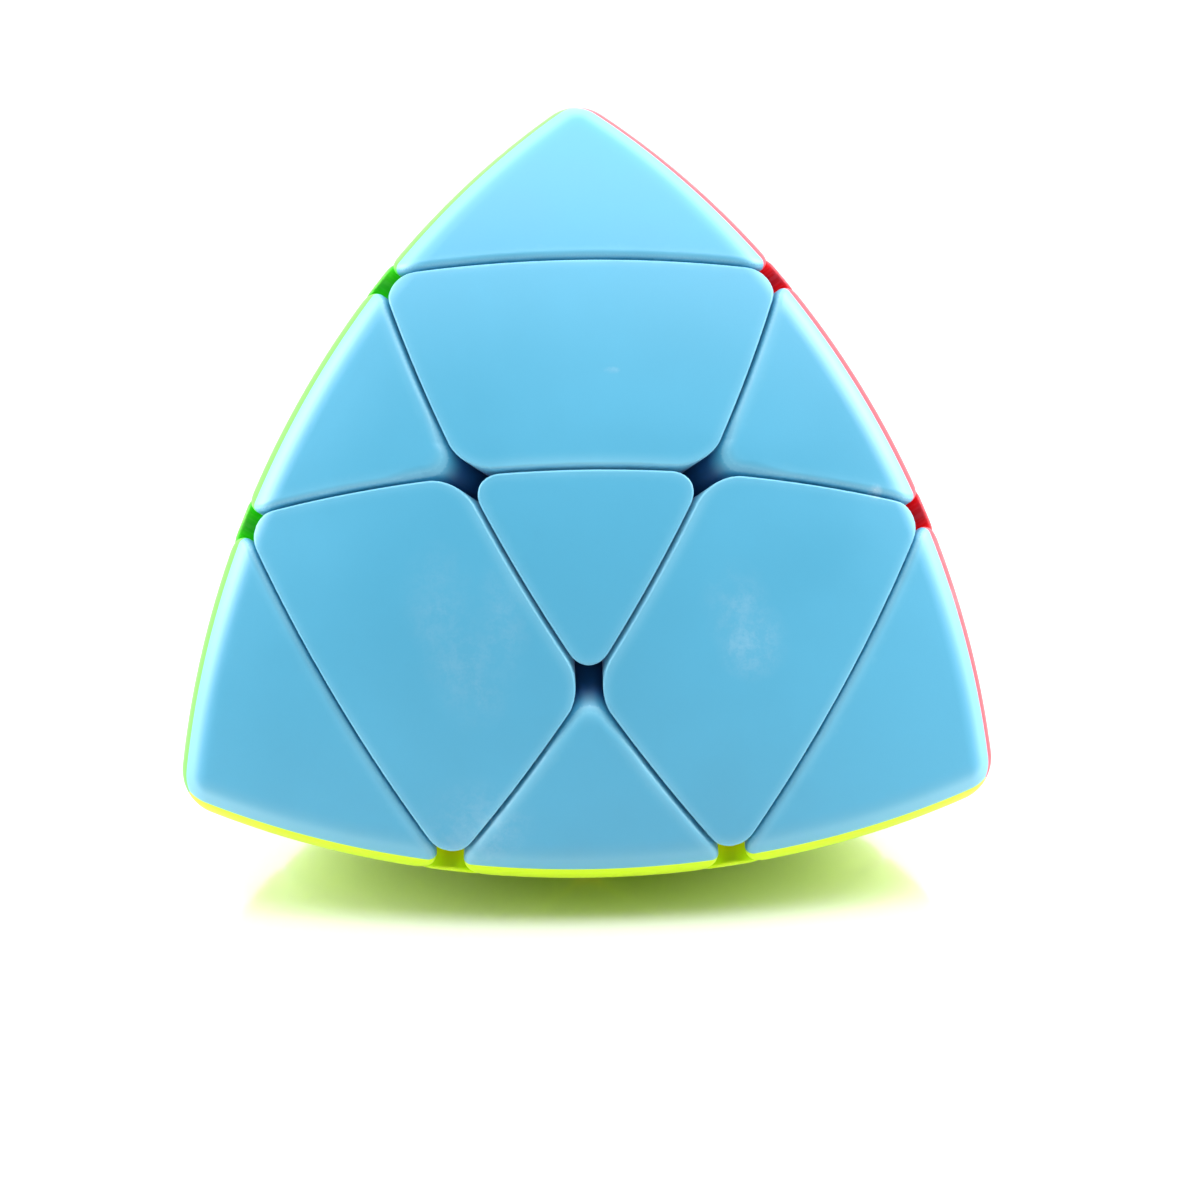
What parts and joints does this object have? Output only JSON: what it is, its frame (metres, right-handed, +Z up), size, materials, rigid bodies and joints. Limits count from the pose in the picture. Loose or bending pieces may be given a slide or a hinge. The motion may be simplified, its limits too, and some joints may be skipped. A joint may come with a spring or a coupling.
{
  "type": "rounded tetrahedron twisty puzzle",
  "caption": "Hand-held twisty puzzle shaped as a rounded tetrahedron: coloured pieces in three layers turn face by face about a hidden six-armed core.",
  "frame": {"origin": "centre of the core, which is the centroid of the rounded tetrahedron", "axes": "+Z up through the top tip and square to the level yellow face below; the blue face looks towards -Y; +X to the right of a viewer looking at the blue face"},
  "size_m": [0.0854, 0.0827, 0.0811],
  "materials": {
    "blue_plastic": "satin",
    "green_plastic": "satin",
    "red_plastic": "satin",
    "yellow_plastic": "satin",
    "foot_plastic": "satin",
    "core_plastic": "satin",
    "zinc_steel": "bright",
    "spring_steel": "bright"
  },
  "bodies": {
    "core": {"core_spider": "core_plastic", "tension_screws": "zinc_steel", "tension_springs": "spring_steel", "screw_washers": "zinc_steel"},
    "centre_blue_green": {"centre_blue_green_blue": "blue_plastic", "centre_blue_green_green": "green_plastic"},
    "centre_blue_red": {"centre_blue_red_blue": "blue_plastic", "centre_blue_red_red": "red_plastic"},
    "centre_blue_yellow": {"centre_blue_yellow_blue": "blue_plastic", "centre_blue_yellow_yellow": "yellow_plastic"},
    "centre_red_yellow": {"centre_red_yellow_red": "red_plastic", "centre_red_yellow_yellow": "yellow_plastic"},
    "centre_green_yellow": {"centre_green_yellow_green": "green_plastic", "centre_green_yellow_yellow": "yellow_plastic"},
    "centre_green_red": {"centre_green_red_green": "green_plastic", "centre_green_red_red": "red_plastic"},
    "quad_blue_top": {"quad_blue_top_cap": "blue_plastic", "quad_blue_top_foot": "foot_plastic"},
    "quad_blue_left": {"quad_blue_left_cap": "blue_plastic", "quad_blue_left_foot": "foot_plastic"},
    "quad_blue_right": {"quad_blue_right_cap": "blue_plastic", "quad_blue_right_foot": "foot_plastic"},
    "quad_green_top": {"quad_green_top_cap": "green_plastic", "quad_green_top_foot": "foot_plastic"},
    "quad_green_left": {"quad_green_left_cap": "green_plastic", "quad_green_left_foot": "foot_plastic"},
    "quad_green_back": {"quad_green_back_cap": "green_plastic", "quad_green_back_foot": "foot_plastic"},
    "quad_red_top": {"quad_red_top_cap": "red_plastic", "quad_red_top_foot": "foot_plastic"},
    "quad_red_right": {"quad_red_right_cap": "red_plastic", "quad_red_right_foot": "foot_plastic"},
    "quad_red_back": {"quad_red_back_cap": "red_plastic", "quad_red_back_foot": "foot_plastic"},
    "quad_yellow_left": {"quad_yellow_left_cap": "yellow_plastic", "quad_yellow_left_foot": "foot_plastic"},
    "quad_yellow_right": {"quad_yellow_right_cap": "yellow_plastic", "quad_yellow_right_foot": "foot_plastic"},
    "quad_yellow_back": {"quad_yellow_back_cap": "yellow_plastic", "quad_yellow_back_foot": "foot_plastic"},
    "triangle_blue": {"triangle_blue_cap": "blue_plastic", "triangle_blue_foot": "foot_plastic"},
    "triangle_green": {"triangle_green_cap": "green_plastic", "triangle_green_foot": "foot_plastic"},
    "triangle_red": {"triangle_red_cap": "red_plastic", "triangle_red_foot": "foot_plastic"},
    "triangle_yellow": {"triangle_yellow_cap": "yellow_plastic", "triangle_yellow_foot": "foot_plastic"},
    "tip_top": {"tip_top_blue": "blue_plastic", "tip_top_green": "green_plastic", "tip_top_red": "red_plastic"},
    "tip_left": {"tip_left_blue": "blue_plastic", "tip_left_green": "green_plastic", "tip_left_yellow": "yellow_plastic"},
    "tip_right": {"tip_right_blue": "blue_plastic", "tip_right_red": "red_plastic", "tip_right_yellow": "yellow_plastic"},
    "tip_back": {"tip_back_green": "green_plastic", "tip_back_red": "red_plastic", "tip_back_yellow": "yellow_plastic"}
  },
  "joints": [
    {"name": "turn_centre_blue_green", "type": "hinge", "parent": "core", "child": "centre_blue_green", "pos_m": [0, 0, 0], "axis": [-0.7071, -0.4082, 0.5774], "continuous": true},
    {"name": "turn_centre_blue_red", "type": "hinge", "parent": "core", "child": "centre_blue_red", "pos_m": [0, 0, 0], "axis": [0.7071, -0.4082, 0.5774], "continuous": true},
    {"name": "turn_centre_blue_yellow", "type": "hinge", "parent": "core", "child": "centre_blue_yellow", "pos_m": [0, 0, 0], "axis": [0, -0.8165, -0.5774], "continuous": true},
    {"name": "turn_centre_red_yellow", "type": "hinge", "parent": "core", "child": "centre_red_yellow", "pos_m": [0, 0, 0], "axis": [0.7071, 0.4082, -0.5774], "continuous": true},
    {"name": "turn_centre_green_yellow", "type": "hinge", "parent": "core", "child": "centre_green_yellow", "pos_m": [0, 0, 0], "axis": [-0.7071, 0.4082, -0.5774], "continuous": true},
    {"name": "turn_centre_green_red", "type": "hinge", "parent": "core", "child": "centre_green_red", "pos_m": [0, 0, 0], "axis": [0, 0.8165, 0.5774], "continuous": true},
    {"name": "follow_quad_blue_top", "type": "hinge", "parent": "centre_blue_green", "child": "quad_blue_top", "pos_m": [0, 0, 0], "axis": [0.7071, -0.4082, 0.5774], "continuous": true},
    {"name": "follow_quad_blue_left", "type": "hinge", "parent": "centre_blue_green", "child": "quad_blue_left", "pos_m": [0, 0, 0], "axis": [0, -0.8165, -0.5774], "continuous": true},
    {"name": "follow_quad_blue_right", "type": "hinge", "parent": "centre_blue_red", "child": "quad_blue_right", "pos_m": [0, 0, 0], "axis": [0, -0.8165, -0.5774], "continuous": true},
    {"name": "follow_quad_green_top", "type": "hinge", "parent": "centre_green_red", "child": "quad_green_top", "pos_m": [0, 0, 0], "axis": [-0.7071, -0.4082, 0.5774], "continuous": true},
    {"name": "follow_quad_green_left", "type": "hinge", "parent": "centre_blue_green", "child": "quad_green_left", "pos_m": [0, 0, 0], "axis": [-0.7071, 0.4082, -0.5774], "continuous": true},
    {"name": "follow_quad_green_back", "type": "hinge", "parent": "centre_green_red", "child": "quad_green_back", "pos_m": [0, 0, 0], "axis": [-0.7071, 0.4082, -0.5774], "continuous": true},
    {"name": "follow_quad_red_top", "type": "hinge", "parent": "centre_blue_red", "child": "quad_red_top", "pos_m": [0, 0, 0], "axis": [0, 0.8165, 0.5774], "continuous": true},
    {"name": "follow_quad_red_right", "type": "hinge", "parent": "centre_blue_red", "child": "quad_red_right", "pos_m": [0, 0, 0], "axis": [0.7071, 0.4082, -0.5774], "continuous": true},
    {"name": "follow_quad_red_back", "type": "hinge", "parent": "centre_green_red", "child": "quad_red_back", "pos_m": [0, 0, 0], "axis": [0.7071, 0.4082, -0.5774], "continuous": true},
    {"name": "follow_quad_yellow_left", "type": "hinge", "parent": "centre_green_yellow", "child": "quad_yellow_left", "pos_m": [0, 0, 0], "axis": [0, -0.8165, -0.5774], "continuous": true},
    {"name": "follow_quad_yellow_right", "type": "hinge", "parent": "centre_blue_yellow", "child": "quad_yellow_right", "pos_m": [0, 0, 0], "axis": [0.7071, 0.4082, -0.5774], "continuous": true},
    {"name": "follow_quad_yellow_back", "type": "hinge", "parent": "centre_red_yellow", "child": "quad_yellow_back", "pos_m": [0, 0, 0], "axis": [-0.7071, 0.4082, -0.5774], "continuous": true},
    {"name": "follow_triangle_blue", "type": "hinge", "parent": "quad_blue_top", "child": "triangle_blue", "pos_m": [0, 0, 0], "axis": [0, -0.8165, -0.5774], "continuous": true},
    {"name": "follow_triangle_green", "type": "hinge", "parent": "quad_green_top", "child": "triangle_green", "pos_m": [0, 0, 0], "axis": [-0.7071, 0.4082, -0.5774], "continuous": true},
    {"name": "follow_triangle_red", "type": "hinge", "parent": "quad_red_right", "child": "triangle_red", "pos_m": [0, 0, 0], "axis": [0, 0.8165, 0.5774], "continuous": true},
    {"name": "follow_triangle_yellow", "type": "hinge", "parent": "quad_yellow_right", "child": "triangle_yellow", "pos_m": [0, 0, 0], "axis": [-0.7071, 0.4082, -0.5774], "continuous": true},
    {"name": "follow_tip_top", "type": "hinge", "parent": "quad_blue_top", "child": "tip_top", "pos_m": [0, 0, 0], "axis": [0, 0.8165, 0.5774], "continuous": true},
    {"name": "follow_tip_left", "type": "hinge", "parent": "quad_blue_left", "child": "tip_left", "pos_m": [0, 0, 0], "axis": [-0.7071, 0.4082, -0.5774], "continuous": true},
    {"name": "follow_tip_right", "type": "hinge", "parent": "quad_yellow_right", "child": "tip_right", "pos_m": [0, 0, 0], "axis": [0.7071, -0.4082, 0.5774], "continuous": true},
    {"name": "follow_tip_back", "type": "hinge", "parent": "quad_yellow_back", "child": "tip_back", "pos_m": [0, 0, 0], "axis": [0, 0.8165, 0.5774], "continuous": true}
  ],
  "couplings": [
    {"joint": "follow_quad_blue_top", "follows": "turn_centre_blue_red", "ratio": 1},
    {"joint": "follow_quad_blue_left", "follows": "turn_centre_blue_yellow", "ratio": 1},
    {"joint": "follow_quad_blue_right", "follows": "turn_centre_blue_yellow", "ratio": 1},
    {"joint": "follow_quad_green_top", "follows": "turn_centre_blue_green", "ratio": 1},
    {"joint": "follow_quad_green_left", "follows": "turn_centre_green_yellow", "ratio": 1},
    {"joint": "follow_quad_green_back", "follows": "turn_centre_green_yellow", "ratio": 1},
    {"joint": "follow_quad_red_top", "follows": "turn_centre_green_red", "ratio": 1},
    {"joint": "follow_quad_red_right", "follows": "turn_centre_red_yellow", "ratio": 1},
    {"joint": "follow_quad_red_back", "follows": "turn_centre_red_yellow", "ratio": 1},
    {"joint": "follow_quad_yellow_left", "follows": "turn_centre_blue_yellow", "ratio": 1},
    {"joint": "follow_quad_yellow_right", "follows": "turn_centre_red_yellow", "ratio": 1},
    {"joint": "follow_quad_yellow_back", "follows": "turn_centre_green_yellow", "ratio": 1},
    {"joint": "follow_triangle_blue", "follows": "turn_centre_blue_yellow", "ratio": 1},
    {"joint": "follow_triangle_green", "follows": "turn_centre_green_yellow", "ratio": 1},
    {"joint": "follow_triangle_red", "follows": "turn_centre_green_red", "ratio": 1},
    {"joint": "follow_triangle_yellow", "follows": "turn_centre_green_yellow", "ratio": 1},
    {"joint": "follow_tip_top", "follows": "turn_centre_green_red", "ratio": 1},
    {"joint": "follow_tip_left", "follows": "turn_centre_green_yellow", "ratio": 1},
    {"joint": "follow_tip_right", "follows": "turn_centre_blue_red", "ratio": 1},
    {"joint": "follow_tip_back", "follows": "turn_centre_green_red", "ratio": 1}
  ]
}
